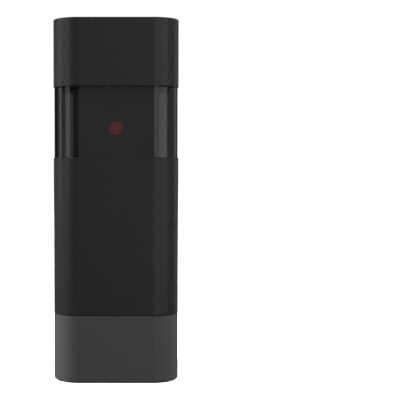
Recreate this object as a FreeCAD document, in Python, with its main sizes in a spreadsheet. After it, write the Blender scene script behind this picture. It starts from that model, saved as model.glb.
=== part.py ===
"""Slim infrared photocell for a wall or post, whose optic drum is turned by hand behind a smoked window.

Millimetres. +Z is up, the front faces -Y and the wall is at +Y.
The origin is the middle of the foot's underside.
"""

import FreeCAD, Part
import math
import os

import Sketcher
from FreeCAD import Placement, Rotation, Vector

# Driving dimensions, each one set by itself.
DIMENSIONS = {
    # The case: four lengths stacked on a rounded square.
    "case_width": 38.0,
    "case_depth": 38.0,
    "corner_radius": 8.0,
    "wall": 2.0,
    "foot_height": 20.3,
    "sleeve_height": 47.5,
    "window_height": 21.1,
    "cap_height": 20.5,
    "foot_inset": 0.05,
    "window_inset": 0.26,
    "window_wall": 2.0,
    "floor_thickness": 2.0,
    "roof_thickness": 2.0,
    "cap_edge": 0.3,
    "foot_edge": 0.5,
    "rim_edge": 0.25,
    # The lap joints between them, each with a seal at its end.
    "lap_length": 3.0,
    "lap_lip": 0.9,
    "lap_clearance": 0.1,
    "seal_height": 0.8,
    # Two long screws at opposite corners, from under the foot into the sleeve.
    "hood_screw_core": 1.3,
    "hood_screw_head": 2.7,
    "hood_screw_head_height": 2.0,
    "hood_screw_recess": 3.0,
    "hood_screw_grip": 9.0,
    "hood_boss_radius": 2.8,
    "hood_boss_height": 12.0,
    "foot_boss_radius": 3.5,
    "boss_merge": 0.3,
    "screw_clearance": 0.05,
    "pass_clearance": 0.4,
    # The cap's bearing boss and its ribs.
    "cap_boss_radius": 4.5,
    "cap_boss_gap": 1.3,
    "cap_boss_room": 0.5,
    "cap_rib_thickness": 1.2,
    "cap_rib_depth": 6.0,
    # The chassis: a spine along the back, a pad through the sleeve, a round table for the drum.
    "spine_thickness": 2.87,
    "spine_room": 0.3,
    "spine_side_room": 0.275,
    "spine_rib_thickness": 1.5,
    "spine_rib_depth": 2.5,
    "pad_crown": 3.8,
    "slot_gap": 0.2,
    "post_height": 3.0,
    "post_radius": 3.0,
    "post_spread": 6.0,
    "post_reach": 6.5,
    "flange_thickness": 2.5,
    "flange_reach": 10.5,
    "table_room": 1.17,
    "table_drop": 1.3,
    "table_thickness": 2.5,
    "bearing_radius": 6.5,
    "bearing_length": 4.5,
    "gusset_spread": 6.6,
    "gusset_thickness": 1.6,
    "gusset_reach": 5.0,
    "gusset_drop": 9.0,
    # The way to fix it: two wall screws, with the cable's way in between them.
    "wall_screw_radius": 2.25,
    "wall_screw_margin": 3.4,
    "grommet_radius": 4.5,
    "grommet_flange": 5.6,
    "grommet_inner_flange": 1.2,
    "grommet_outer_flange": 1.4,
    "grommet_clearance": 0.05,
    "cable_radius": 3.0,
    # The main board on its four posts.
    "board_width": 24.0,
    "board_thickness": 1.6,
    "board_post_length": 6.5,
    "board_crown": 1.9,
    "board_margin": 1.0,
    "board_corner": 1.0,
    "board_post_radius": 2.2,
    "board_post_spread": 7.4,
    "board_pin_rise": 2.0,
    "board_pin_radius": 0.9,
    "board_pin_end": 0.2,
    "access_radius": 4.2,
    # Small screws for the boards and the chassis.
    "small_screw_core": 0.95,
    "small_screw_head": 1.9,
    "small_screw_head_height": 1.5,
    "small_screw_grip": 5.0,
    "pilot_extra": 1.0,
    # The parts on the main board.
    "terminal_pitch": 3.5,
    "terminal_side": 0.5,
    "terminal_depth": 8.0,
    "terminal_height": 8.0,
    "terminal_rise": 0.5,
    "terminal_slope": 2.2,
    "terminal_face": 5.4,
    "wire_hole_width": 2.5,
    "wire_hole_depth": 4.5,
    "terminal_well_radius": 1.5,
    "terminal_well_depth": 2.4,
    "terminal_screw_length": 1.2,
    "relay_width": 6.5,
    "relay_height": 9.5,
    "relay_depth": 10.0,
    "relay_edge": 0.5,
    "part_gap": 0.8,
    "screw_room": 0.5,
    "capacitor_radius": 3.15,
    "capacitor_length": 7.6,
    "capacitor_edge": 0.4,
    "capacitor_groove": 0.35,
    "capacitor_groove_place": 1.2,
    "chip_width": 3.9,
    "chip_height": 4.0,
    "chip_thickness": 1.5,
    "chip_stand_off": 0.15,
    "chip_leg_reach": 1.0,
    "chip_leg_width": 0.45,
    "chip_leg_thickness": 0.25,
    "chip_leg_pitch": 1.0,
    "rectifier_width": 4.7,
    "rectifier_height": 3.9,
    "rectifier_depth": 2.5,
    "led_radius": 1.5,
    "led_flange": 1.9,
    "led_flange_thickness": 1.0,
    "led_straight": 2.6,
    "jumper_pitch": 2.54,
    "jumper_pin": 0.64,
    "jumper_pin_length": 8.5,
    "jumper_cap_length": 6.0,
    "corner_part_spread": 8.6,
    "socket_width": 8.0,
    "socket_height": 4.0,
    "socket_reach": 2.4,
    "socket_room": 0.4,
    "lead_drop": 1.8,
    "lead_radius": 1.6,
    # The optic drum and what it holds.
    "drum_room": 2.77,
    "drum_flat": 7.6,
    "drum_gap": 0.1,
    "drum_wall": 1.8,
    "drum_edge": 0.3,
    "drum_hollow": 20.0,
    "cover_hollow": 3.2,
    "cover_lip_gap": 0.2,
    "cover_lip_thickness": 1.2,
    "cover_lip_length": 1.6,
    "cover_lip_clearance": 0.1,
    "washer_radius": 7.5,
    "washer_thickness": 0.6,
    "trunnion_radius": 2.5,
    "trunnion_length": 6.0,
    "spindle_radius": 4.0,
    "spindle_bore": 2.1,
    "spindle_tail": 1.6,
    "bearing_clearance": 0.05,
    "clip_groove_radius": 3.2,
    "clip_thickness": 0.6,
    "clip_gap": 0.1,
    "clip_radius": 5.8,
    "clip_opening": 4.4,
    "lens_rise": 9.05,
    "lens_radius": 2.2,
    "lens_flange": 3.2,
    "lens_flange_thickness": 0.8,
    "lens_proud": 0.2,
    "lens_edge": 0.15,
    "lens_clearance": 0.05,
    "diode_radius": 2.5,
    "diode_flange": 2.9,
    "diode_flange_thickness": 1.0,
    "diode_lens_gap": 0.3,
    "diode_leg_radius": 0.3,
    "diode_leg_spread": 1.27,
    "diode_leg_tail": 0.5,
    "optic_board_front": 2.0,
    "optic_board_thickness": 1.2,
    "optic_board_room": 0.6,
    "optic_post_radius": 1.7,
    "optic_post_spread": 6.4,
    "optic_post_inset": 3.6,
    "plug_width": 8.0,
    "plug_height": 3.0,
    "plug_reach": 2.2,
    "plug_room": 0.55,
    "lead_gap": 0.1,
}

TERMINALS = 5
CHIP_LEGS = 4
DIAGONAL = 0.70711
UP = Vector(0, 0, 1)
DOWN = Vector(0, 0, -1)
BACK = Vector(0, 1, 0)
FRONT = Vector(0, -1, 0)

doc = FreeCAD.newDocument("Photocell")


class Size:
    """A length, with the sheet expression that gives it."""

    def __init__(self, value, text):
        self.value = value
        self.text = text

    @staticmethod
    def of(number):
        return number if isinstance(number, Size) else Size(float(number), repr(float(number)))

    def __add__(self, other):
        other = Size.of(other)
        return Size(self.value + other.value, f"({self.text} + {other.text})")

    def __sub__(self, other):
        other = Size.of(other)
        return Size(self.value - other.value, f"({self.text} - {other.text})")

    def __mul__(self, factor):
        factor = Size.of(factor)
        return Size(self.value * factor.value, f"({self.text} * {factor.text})")

    def __truediv__(self, divisor):
        divisor = Size.of(divisor)
        return Size(self.value / divisor.value, f"({self.text} / {divisor.text})")

    def __neg__(self):
        return Size(-self.value, f"(-1 * {self.text})")

    __radd__ = __add__
    __rmul__ = __mul__


class Sizes:
    """The sheet of driving dimensions, each read by its own name."""

    def __init__(self, dimensions):
        sheet = doc.addObject("Spreadsheet::Sheet", "Sizes")
        for row, (name, value) in enumerate(dimensions.items(), start=1):
            sheet.set(f"A{row}", name)
            sheet.set(f"B{row}", str(value))
            sheet.setAlias(f"B{row}", name)
            setattr(self, name, Size(value, f"Sizes.{name}"))
        doc.recompute()


def smaller(one, other):
    return Size(min(one.value, other.value), f"min({one.text}; {other.text})")


def larger(one, other):
    return Size(max(one.value, other.value), f"max({one.text}; {other.text})")


s = Sizes(DIMENSIONS)

# Heights and half-widths that several pieces share, from the outside in and from the foot up.
half_width = s.case_width / 2
half_depth = s.case_depth / 2
sleeve_bottom = s.foot_height
sleeve_top = sleeve_bottom + s.sleeve_height
cap_bottom = sleeve_top + s.window_height
case_top = cap_bottom + s.cap_height
roof_bottom = case_top - s.roof_thickness
rebate_depth = s.lap_length + s.seal_height
spigot_inset = s.lap_lip + s.lap_clearance
window_inner_inset = s.window_inset + s.window_wall
foot_inner_inset = s.foot_inset + s.wall
inner_half = smaller(half_width, half_depth) - larger(window_inner_inset, foot_inner_inset)
boss_inset = s.corner_radius - (s.corner_radius - s.wall - s.hood_boss_radius + s.boss_merge) * DIAGONAL
boss_across = half_width - boss_inset
boss_along = half_depth - boss_inset
hood_boss_bottom = sleeve_bottom + rebate_depth + s.slot_gap

# The chassis, from the foot's posts up to the table that the drum stands on.
chassis_bottom = s.floor_thickness + s.post_height
spine_back = half_depth - larger(window_inner_inset, foot_inner_inset) - s.spine_room
spine_front = spine_back - s.spine_thickness
spine_half = boss_across - s.foot_boss_radius - s.spine_side_room
post_place = spine_front - s.post_reach
pad_bottom = sleeve_bottom + rebate_depth
pad_top = sleeve_top - rebate_depth - s.pad_crown
table_radius = inner_half - s.table_room
table_top = sleeve_top - s.table_drop
table_bottom = table_top - s.table_thickness
bearing_bottom = table_top - s.bearing_length
spindle_end = bearing_bottom - s.spindle_tail

# The main board, from its top edge down, under the drum's spindle.
small_pilot = s.small_screw_core + s.screw_clearance
small_hole = s.small_screw_core + s.pass_clearance
board_back = spine_front - s.board_post_length
board_front = board_back - s.board_thickness
socket_top = spindle_end - s.lead_drop
socket_bottom = socket_top - s.socket_height
board_top = socket_top + s.board_crown
corner_part_height = board_top - s.board_margin - s.led_flange
board_screw_height = corner_part_height - s.led_flange - s.screw_room - s.small_screw_head
parts_low = board_screw_height - s.small_screw_head - s.screw_room - s.relay_height
parts_side = s.access_radius + s.part_gap
terminal_top = parts_low - s.part_gap
terminal_bottom = terminal_top - s.terminal_height
terminal_front = board_front - s.terminal_depth
terminal_screw_height = terminal_bottom + s.terminal_face / 2
board_bottom = terminal_bottom - s.terminal_rise
board_pin_height = board_bottom + s.board_pin_rise

# The two wall screws, the upper one reached through the board, and the cable's way in halfway between them.
wall_screw_low = pad_bottom + s.wall_screw_margin
wall_screw_high = socket_bottom - s.socket_room - s.access_radius
cable_height = (wall_screw_low + wall_screw_high) / 2

# The optic drum, between the table's washer and the cap.
drum_radius = inner_half - s.drum_room
drum_bottom = table_top + s.washer_thickness
drum_top = cap_bottom - s.drum_gap
drum_floor = drum_bottom + s.drum_wall
drum_ceiling = drum_top - s.drum_wall
drum_half = s.drum_hollow / 2
drum_inner_face = s.drum_wall - s.drum_flat
lens_height = sleeve_top + s.lens_rise
optic_board_back = s.optic_board_front + s.optic_board_thickness
drum_split = optic_board_back + s.cover_lip_gap + s.cover_lip_length
optic_posts = (
    (-s.optic_post_spread, drum_floor + s.optic_post_inset),
    (s.optic_post_spread, drum_ceiling - s.optic_post_inset),
)
plug_top = lens_height - s.diode_flange - s.plug_room
plug_bottom = plug_top - s.plug_height
lead_top = plug_bottom - s.lead_gap


# Sketches: each is drawn to size and then bound to the sheet.
def new_body(label):
    body = doc.addObject("PartDesign::Body", label)
    body.Label = label
    return body


def sketch_on(body, role, level):
    """A sketch parallel to one of the body's origin planes, at a level along that plane's normal."""
    level = Size.of(level)
    plane = next(feature for feature in body.Origin.OriginFeatures if feature.Role == role)
    sketch = body.newObject("Sketcher::SketchObject", "Sketch")
    sketch.AttachmentSupport = [(plane, "")]
    sketch.MapMode = "FlatFace"
    sketch.AttachmentOffset = Placement(Vector(0, 0, level.value), Rotation())
    sketch.setExpression("AttachmentOffset.Base.z", level.text)
    return sketch


def level_sketch(body, height):
    """A sketch in X and Y at a height; it looks up."""
    return sketch_on(body, "XY_Plane", height)


def facing_sketch(body, place):
    """A sketch in X and Z at a place along Y; it looks to the front."""
    return sketch_on(body, "XZ_Plane", -Size.of(place))


def side_sketch(body, place):
    """A sketch in Y and Z at a place along X; it looks to the right."""
    return sketch_on(body, "YZ_Plane", place)


def bind(sketch, kind, *where, size):
    size = Size.of(size)
    index = sketch.addConstraint(Sketcher.Constraint(kind, *where, size.value))
    sketch.setExpression(f"Constraints[{index}]", size.text)


def place_point(sketch, geometry, point, x, y):
    bind(sketch, "DistanceX", -1, 1, geometry, point, size=x)
    bind(sketch, "DistanceY", -1, 1, geometry, point, size=y)


def circle(sketch, x, y, radius):
    x, y, radius = Size.of(x), Size.of(y), Size.of(radius)
    index = sketch.addGeometry(Part.Circle(Vector(x.value, y.value, 0), UP, radius.value))
    bind(sketch, "Radius", index, size=radius)
    place_point(sketch, index, 3, x, y)


def polygon(sketch, points):
    """A closed outline of straight lines through the points."""
    points = [(Size.of(x), Size.of(y)) for x, y in points]
    ends = points[1:] + points[:1]
    lines = []
    for (x, y), (end_x, end_y) in zip(points, ends):
        start = Vector(x.value, y.value, 0)
        lines.append(sketch.addGeometry(Part.LineSegment(start, Vector(end_x.value, end_y.value, 0))))
    for line, following in zip(lines, lines[1:] + lines[:1]):
        sketch.addConstraint(Sketcher.Constraint("Coincident", line, 2, following, 1))
    for line, (x, y) in zip(lines, points):
        place_point(sketch, line, 1, x, y)


def rectangle(sketch, left, right, low, high):
    polygon(sketch, [(left, low), (right, low), (right, high), (left, high)])


def rounded_rectangle(sketch, left, right, low, high, radius):
    """Four sides and four equal corner arcs, tangent where they meet."""
    left, right, low, high, radius = (Size.of(size) for size in (left, right, low, high, radius))
    corners = (
        (right - radius, low + radius, -90),
        (right - radius, high - radius, 0),
        (left + radius, high - radius, 90),
        (left + radius, low + radius, 180),
    )
    arcs = []
    for x, y, start in corners:
        turn = Part.Circle(Vector(x.value, y.value, 0), UP, radius.value)
        arc = Part.ArcOfCircle(turn, math.radians(start), math.radians(start + 90))
        arcs.append(sketch.addGeometry(arc))
    sides = []
    for arc, following in zip(arcs, arcs[1:] + arcs[:1]):
        ends = sketch.Geometry[arc].EndPoint, sketch.Geometry[following].StartPoint
        sides.append(sketch.addGeometry(Part.LineSegment(*ends)))
    for arc, side, following in zip(arcs, sides, arcs[1:] + arcs[:1]):
        sketch.addConstraint(Sketcher.Constraint("Tangent", arc, 2, side, 1))
        sketch.addConstraint(Sketcher.Constraint("Tangent", side, 2, following, 1))
    for index, side in enumerate(sides):
        sketch.addConstraint(Sketcher.Constraint("Vertical" if index % 2 == 0 else "Horizontal", side))
    for arc in arcs[1:]:
        sketch.addConstraint(Sketcher.Constraint("Equal", arcs[0], arc))
    bind(sketch, "Radius", arcs[0], size=radius)
    bind(sketch, "DistanceX", -1, 1, sides[0], 1, size=right)
    bind(sketch, "DistanceY", -1, 1, sides[1], 1, size=high)
    bind(sketch, "DistanceX", -1, 1, sides[2], 1, size=left)
    bind(sketch, "DistanceY", -1, 1, sides[3], 1, size=low)


def case_outline(sketch, inset):
    """The case's rounded square, drawn in by an inset on every side."""
    across = half_width - inset
    along = half_depth - inset
    rounded_rectangle(sketch, -across, across, -along, along, s.corner_radius - inset)


# Features: what a sketch adds to its body, or takes away.
def shape_with(kind, body, sketch, length, reverse):
    length = Size.of(length)
    feature = body.newObject(f"PartDesign::{kind}", kind)
    feature.Profile = sketch
    feature.Length = length.value
    feature.setExpression("Length", length.text)
    feature.Reversed = reverse
    sketch.Visibility = False
    doc.recompute()
    return feature


def pad(body, sketch, length, reverse=False):
    return shape_with("Pad", body, sketch, length, reverse)


def pad_both_ways(body, sketch, length):
    feature = pad(body, sketch, length)
    feature.SideType = "Symmetric"
    doc.recompute()


def pocket(body, sketch, length, reverse=False):
    """Cuts against the way the sketch looks, or along it when reversed."""
    before = body.Shape.Volume
    shape_with("Pocket", body, sketch, length, reverse)
    if not body.Shape.Volume < before:
        raise RuntimeError(f"a pocket in {body.Label} cuts nothing")


def edges_where(shape, wanted):
    return [f"Edge{number}" for number, edge in enumerate(shape.Edges, start=1) if wanted(edge)]


def soften(body, kind, size, wanted):
    """A Fillet or Chamfer on the edges that are wanted."""
    base = body.Tip
    names = edges_where(base.Shape, wanted)
    if not names:
        raise RuntimeError(f"no edge of {body.Label} to soften")
    feature = body.newObject(f"PartDesign::{kind}", kind)
    feature.Base = (base, names)
    measure = "Radius" if kind == "Fillet" else "Size"
    setattr(feature, measure, size.value)
    feature.setExpression(measure, size.text)
    doc.recompute()


def outer_rim(height, inset):
    """Picks the edges of the case's outline at a height."""
    across = half_width.value - Size.of(inset).value
    along = half_depth.value - Size.of(inset).value
    flat_x = half_width.value - s.corner_radius.value
    flat_y = half_depth.value - s.corner_radius.value

    def wanted(edge):
        box = edge.BoundBox
        if abs(box.ZMin - height.value) > 1e-4 or abs(box.ZMax - height.value) > 1e-4:
            return False
        middle = edge.valueAt((edge.FirstParameter + edge.LastParameter) / 2)
        on_side = abs(abs(middle.x) - across) < 1e-4 or abs(abs(middle.y) - along) < 1e-4
        past_flats = abs(middle.x) > flat_x and abs(middle.y) > flat_y
        return on_side or (past_flats and edge.Length > s.corner_radius.value)

    return wanted


# Plain solids, placed and sized by the sheet.
def placed(solid, corner, axis=UP):
    x, y, z = (Size.of(size) for size in corner)
    solid.Placement = Placement(Vector(x.value, y.value, z.value), Rotation(UP, axis))
    for name, size in zip("xyz", (x, y, z)):
        solid.setExpression(f"Placement.Base.{name}", size.text)
    return solid


def sized(solid, **sizes):
    for name, size in sizes.items():
        size = Size.of(size)
        setattr(solid, name, size.value)
        solid.setExpression(name, size.text)
    return solid


def box(label, left, right, front, back, low, high):
    solid = doc.addObject("Part::Box", label)
    sized(solid, Length=right - left, Width=back - front, Height=high - low)
    return placed(solid, (left, front, low))


def rod(label, start, axis, radius, length):
    solid = doc.addObject("Part::Cylinder", label)
    sized(solid, Radius=radius, Height=length)
    return placed(solid, start, axis)


def ball(label, centre, radius):
    solid = doc.addObject("Part::Sphere", label)
    sized(solid, Radius=radius)
    return placed(solid, centre)


def fused(label, solids):
    whole = doc.addObject("Part::MultiFuse", label)
    whole.Shapes = solids
    whole.Refine = True
    return whole


def grouped(label, solids):
    group = doc.addObject("Part::Compound", label)
    group.Links = solids
    return group


def screw(name, seat, axis, core, grip, head, head_height):
    """A screw whose head lies on its seat and whose core runs along the axis."""
    x, y, z = (Size.of(size) for size in seat)
    back = [size - Size.of(head_height) * part for size, part in zip((x, y, z), axis)]
    top = rod(f"{name}_head", back, axis, head, head_height)
    core_length = Size.of(grip) + head_height
    return fused(name, [top, rod(f"{name}_core", back, axis, core, core_length)])


def ring(label, low, high, outer_inset, inner_inset):
    """A ring of the case's outline."""
    body = new_body(label)
    sketch = level_sketch(body, low)
    case_outline(sketch, outer_inset)
    case_outline(sketch, inner_inset)
    pad(body, sketch, high - low)
    return body


# The case.
def foot_housing():
    body = new_body("foot_housing")
    outline = level_sketch(body, 0)
    case_outline(outline, s.foot_inset)
    pad(body, outline, s.foot_height)
    soften(body, "Chamfer", s.foot_edge, outer_rim(Size.of(0), s.foot_inset))
    tongue = level_sketch(body, s.foot_height)
    case_outline(tongue, spigot_inset)
    pad(body, tongue, s.lap_length)
    room = level_sketch(body, s.foot_height + s.lap_length)
    case_outline(room, foot_inner_inset)
    pocket(body, room, s.foot_height + s.lap_length - s.floor_thickness)
    bosses = level_sketch(body, s.floor_thickness)
    holes = level_sketch(body, s.foot_height)
    recesses = level_sketch(body, s.hood_screw_recess)
    for side in (-1, 1):
        circle(bosses, boss_across * side, boss_along * side, s.foot_boss_radius)
        circle(holes, boss_across * side, boss_along * side, s.hood_screw_core + s.pass_clearance)
        circle(recesses, boss_across * side, boss_along * side, s.hood_screw_head + s.screw_clearance)
    pad(body, bosses, s.foot_height - s.floor_thickness)
    pocket(body, holes, s.foot_height)
    pocket(body, recesses, s.hood_screw_recess)
    posts = level_sketch(body, s.floor_thickness)
    pilots = level_sketch(body, chassis_bottom)
    for side in (-1, 1):
        circle(posts, s.post_spread * side, post_place, s.post_radius)
        circle(pilots, s.post_spread * side, post_place, small_pilot)
    pad(body, posts, s.post_height)
    pocket(body, pilots, s.small_screw_grip - s.flange_thickness + s.pilot_extra)
    return body


def body_sleeve():
    body = new_body("body_sleeve")
    tube = level_sketch(body, sleeve_bottom)
    case_outline(tube, 0)
    case_outline(tube, s.wall)
    pad(body, tube, s.sleeve_height)
    for height in (sleeve_top, sleeve_bottom):
        soften(body, "Chamfer", s.rim_edge, outer_rim(height, 0))
    for height in (sleeve_top, sleeve_bottom + rebate_depth):
        rebate = level_sketch(body, height)
        case_outline(rebate, s.lap_lip)
        pocket(body, rebate, rebate_depth)
    slot = facing_sketch(body, half_depth)
    rectangle(slot, -(spine_half + s.slot_gap), spine_half + s.slot_gap, 0, pad_top + s.slot_gap)
    pocket(body, slot, s.wall + s.spine_room, reverse=True)
    bosses = level_sketch(body, hood_boss_bottom)
    pilots = level_sketch(body, hood_boss_bottom + s.hood_boss_height - s.pilot_extra)
    for side in (-1, 1):
        circle(bosses, boss_across * side, boss_along * side, s.hood_boss_radius)
        circle(pilots, boss_across * side, boss_along * side, s.hood_screw_core + s.screw_clearance)
    pad(body, bosses, s.hood_boss_height)
    pocket(body, pilots, s.hood_boss_height - s.pilot_extra)
    return body


def window_ring():
    body = new_body("window_ring")
    spigots = level_sketch(body, sleeve_top - s.lap_length)
    case_outline(spigots, spigot_inset)
    case_outline(spigots, window_inner_inset)
    pad(body, spigots, s.window_height + s.lap_length * 2)
    band = level_sketch(body, sleeve_top)
    case_outline(band, s.window_inset)
    case_outline(band, window_inner_inset)
    pad(body, band, s.window_height)
    return body


def top_cap():
    body = new_body("top_cap")
    outline = level_sketch(body, cap_bottom)
    case_outline(outline, 0)
    pad(body, outline, s.cap_height)
    soften(body, "Fillet", s.cap_edge, outer_rim(case_top, 0))
    soften(body, "Chamfer", s.rim_edge, outer_rim(cap_bottom, 0))
    room = level_sketch(body, roof_bottom)
    case_outline(room, s.wall)
    pocket(body, room, s.cap_height - s.roof_thickness)
    rebate = level_sketch(body, cap_bottom + rebate_depth)
    case_outline(rebate, s.lap_lip)
    pocket(body, rebate, rebate_depth)
    ribs = level_sketch(body, roof_bottom - s.cap_rib_depth)
    thin = s.cap_rib_thickness / 2
    rectangle(ribs, s.wall - half_width, half_width - s.wall, -thin, thin)
    pad(body, ribs, s.cap_rib_depth)
    cross_ribs = level_sketch(body, roof_bottom - s.cap_rib_depth)
    rectangle(cross_ribs, -thin, thin, s.wall - half_depth, half_depth - s.wall)
    pad(body, cross_ribs, s.cap_rib_depth)
    boss_bottom = drum_top + s.cap_boss_gap
    boss = level_sketch(body, boss_bottom)
    circle(boss, 0, 0, s.cap_boss_radius)
    pad(body, boss, roof_bottom - boss_bottom)
    bore_depth = s.trunnion_length - s.cap_boss_gap + s.cap_boss_room
    bore = level_sketch(body, boss_bottom + bore_depth)
    circle(bore, 0, 0, s.trunnion_radius + s.bearing_clearance)
    pocket(body, bore, bore_depth)
    return body


def seals():
    foot_top = s.foot_height + s.lap_length
    window_low = sleeve_top - s.lap_length
    window_high = cap_bottom + s.lap_length
    inner = s.wall + s.lap_clearance
    return [
        ring("foot_seal", foot_top, foot_top + s.seal_height, spigot_inset, foot_inner_inset),
        ring("lower_window_seal", window_low - s.seal_height, window_low, spigot_inset, inner),
        ring("upper_window_seal", window_high, window_high + s.seal_height, spigot_inset, inner),
    ]


def hood_screws():
    grip = hood_boss_bottom + s.hood_screw_grip - s.hood_screw_recess
    head = s.hood_screw_head, s.hood_screw_head_height
    return grouped("hood_screws", [
        screw(f"hood_screw_{number}", (boss_across * side, boss_along * side, s.hood_screw_recess), UP,
              s.hood_screw_core, grip, *head)
        for number, side in enumerate((-1, 1))
    ])


# The chassis and what fixes it.
def chassis_frame(body):
    spine = level_sketch(body, chassis_bottom)
    rectangle(spine, -spine_half, spine_half, spine_front, spine_back)
    pad(body, spine, table_top - chassis_bottom)
    flange = level_sketch(body, chassis_bottom)
    rectangle(flange, -spine_half, spine_half, spine_front - s.flange_reach, spine_front)
    pad(body, flange, s.flange_thickness)
    wall_pad = facing_sketch(body, half_depth)
    rectangle(wall_pad, -spine_half, spine_half, pad_bottom, pad_top)
    pad(body, wall_pad, half_depth - spine_back)
    for side in (-1, 1):
        rib = level_sketch(body, chassis_bottom)
        edges = [spine_half * side, (spine_half - s.spine_rib_thickness) * side]
        rectangle(rib, *edges[::side], spine_front - s.spine_rib_depth, spine_front)
        pad(body, rib, table_top - chassis_bottom)


def chassis_table(body):
    table = level_sketch(body, table_bottom)
    circle(table, 0, 0, table_radius)
    pad(body, table, s.table_thickness)
    bearing = level_sketch(body, bearing_bottom)
    circle(bearing, 0, 0, s.bearing_radius)
    pad(body, bearing, s.bearing_length - s.table_thickness)
    for side in (-1, 1):
        gusset = side_sketch(body, s.gusset_spread * side)
        foot = (spine_front, table_bottom - s.gusset_drop)
        tip = (spine_front - s.gusset_reach, table_bottom)
        polygon(gusset, [foot, (spine_front, table_bottom), tip])
        pad_both_ways(body, gusset, s.gusset_thickness)
    bore = level_sketch(body, table_top)
    circle(bore, 0, 0, s.spindle_radius + s.bearing_clearance)
    pocket(body, bore, s.bearing_length)


def chassis_board_posts(body):
    posts = facing_sketch(body, spine_front)
    pilots = facing_sketch(body, board_back)
    pins = facing_sketch(body, board_back)
    for side in (-1, 1):
        for height in (board_screw_height, board_pin_height):
            circle(posts, s.board_post_spread * side, height, s.board_post_radius)
        circle(pilots, s.board_post_spread * side, board_screw_height, small_pilot)
        circle(pins, s.board_post_spread * side, board_pin_height, s.board_pin_radius)
    pad(body, posts, s.board_post_length)
    pocket(body, pilots, s.small_screw_grip - s.board_thickness + s.pilot_extra)
    pad(body, pins, s.board_thickness - s.board_pin_end)


def chassis():
    body = new_body("chassis")
    chassis_frame(body)
    chassis_table(body)
    chassis_board_posts(body)
    through = facing_sketch(body, half_depth)
    circle(through, 0, wall_screw_low, s.wall_screw_radius)
    circle(through, 0, wall_screw_high, s.wall_screw_radius)
    circle(through, 0, cable_height, s.grommet_radius + s.grommet_clearance)
    pocket(body, through, half_depth - spine_front, reverse=True)
    recess = facing_sketch(body, half_depth)
    circle(recess, 0, cable_height, s.grommet_flange + s.grommet_clearance)
    pocket(body, recess, s.grommet_outer_flange, reverse=True)
    holes = level_sketch(body, chassis_bottom + s.flange_thickness)
    for side in (-1, 1):
        circle(holes, s.post_spread * side, post_place, small_hole)
    pocket(body, holes, s.flange_thickness)
    return body


def cable_grommet():
    """A spool with its outer flange sunk flush in the wall face."""
    body = new_body("cable_grommet")
    neck_length = half_depth - spine_front
    neck = facing_sketch(body, half_depth)
    circle(neck, 0, cable_height, s.grommet_radius)
    pad(body, neck, neck_length)
    outer = facing_sketch(body, half_depth)
    circle(outer, 0, cable_height, s.grommet_flange)
    pad(body, outer, s.grommet_outer_flange)
    inner = facing_sketch(body, spine_front)
    circle(inner, 0, cable_height, s.grommet_flange)
    pad(body, inner, s.grommet_inner_flange)
    bore = facing_sketch(body, half_depth)
    circle(bore, 0, cable_height, s.cable_radius)
    pocket(body, bore, neck_length + s.grommet_inner_flange, reverse=True)
    return body


def chassis_screws():
    seat = chassis_bottom + s.flange_thickness
    head = s.small_screw_head, s.small_screw_head_height
    return grouped("chassis_screws", [
        screw(f"chassis_screw_{number}", (s.post_spread * side, post_place, seat), DOWN,
              s.small_screw_core, s.small_screw_grip, *head)
        for number, side in enumerate((-1, 1))
    ])


# The main board and the parts on it.
def main_board():
    body = new_body("main_board")
    outline = facing_sketch(body, board_back)
    across = s.board_width / 2
    rounded_rectangle(outline, -across, across, board_bottom, board_top, s.board_corner)
    circle(outline, 0, wall_screw_high, s.access_radius)
    pin_hole = s.board_pin_radius + s.screw_clearance
    for side in (-1, 1):
        circle(outline, s.board_post_spread * side, board_screw_height, small_hole)
        circle(outline, s.board_post_spread * side, board_pin_height, pin_hole)
    pad(body, outline, s.board_thickness)
    return body


def board_screws():
    head = s.small_screw_head, s.small_screw_head_height
    return grouped("board_screws", [
        screw(f"board_screw_{number}", (s.board_post_spread * side, board_front, board_screw_height), BACK,
              s.small_screw_core, s.small_screw_grip, *head)
        for number, side in enumerate((-1, 1))
    ])


def terminal_places():
    return [s.terminal_pitch * (number - (TERMINALS - 1) / 2) for number in range(TERMINALS)]


def terminal_block():
    """A row of screw clamps: wires enter from below, and the screws face the front."""
    body = new_body("terminal_block")
    section = side_sketch(body, 0)
    polygon(section, [
        (board_front, terminal_bottom),
        (board_front, terminal_top),
        (terminal_front + s.terminal_slope, terminal_top),
        (terminal_front, terminal_bottom + s.terminal_face),
        (terminal_front, terminal_bottom),
    ])
    pad_both_ways(body, section, s.terminal_pitch * TERMINALS + s.terminal_side * 2)
    wires = level_sketch(body, terminal_bottom)
    wells = facing_sketch(body, terminal_front)
    wide = s.wire_hole_width / 2
    wire_front = terminal_front + s.terminal_well_depth
    for place in terminal_places():
        rectangle(wires, place - wide, place + wide, wire_front, wire_front + s.wire_hole_width)
        circle(wells, place, terminal_screw_height, s.terminal_well_radius)
    pocket(body, wires, s.wire_hole_depth, reverse=True)
    pocket(body, wells, s.terminal_well_depth)
    return body


def terminal_screws():
    seat = terminal_front + s.terminal_well_depth - s.terminal_screw_length
    return grouped("terminal_screws", [
        rod(f"terminal_screw_{number}", (place, seat, terminal_screw_height), BACK,
            s.terminal_well_radius - s.screw_clearance, s.terminal_screw_length)
        for number, place in enumerate(terminal_places())
    ])


def relay():
    body = new_body("relay")
    outline = facing_sketch(body, board_front)
    rectangle(outline, -(parts_side + s.relay_width), -parts_side, parts_low, parts_low + s.relay_height)
    pad(body, outline, s.relay_depth)
    front = board_front - s.relay_depth
    soften(body, "Fillet", s.relay_edge, lambda edge: edge.BoundBox.YMax < front.value + 1e-4)
    return body


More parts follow.
